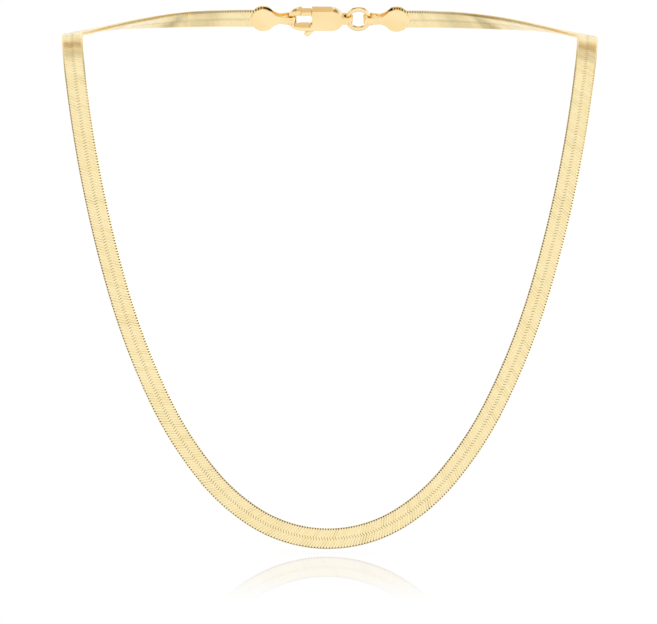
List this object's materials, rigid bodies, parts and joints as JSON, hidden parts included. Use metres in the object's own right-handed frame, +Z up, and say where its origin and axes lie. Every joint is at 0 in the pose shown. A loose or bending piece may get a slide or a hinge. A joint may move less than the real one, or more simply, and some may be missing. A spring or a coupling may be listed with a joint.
{
  "type": "necklace chain",
  "caption": "Flat gold herringbone neck chain in its worn form: a woven band draped in front, over the shoulders and round the nape, closed with a sprung lobster clasp.",
  "frame": {"origin": "on the skin at the middle of the nape, where the clasp rests", "axes": "+Z up, -Y towards the front drop, +X towards the ring end of the clasp"},
  "size_m": [0.1032, 0.0891, 0.1042],
  "materials": {
    "band": "polished gold, woven flat",
    "findings": "polished gold"
  },
  "bodies": {
    "chain": {"chain_band": "band", "hook_end_cap": "findings", "ring_end_cap": "findings", "clasp_body": "findings", "clasp_pin": "findings", "jump_ring": "findings"},
    "lever": {"clasp_lever": "findings"}
  },
  "joints": [
    {"name": "lever_pivot", "type": "hinge", "parent": "chain", "child": "lever", "pos_m": [-0.00278, 0.00107, 0.00085], "axis": [0, -0.866, -0.5], "range_deg": [0, 36], "stiffness_Nm_per_rad": 0.002, "springref_deg": -8.59}
  ]
}
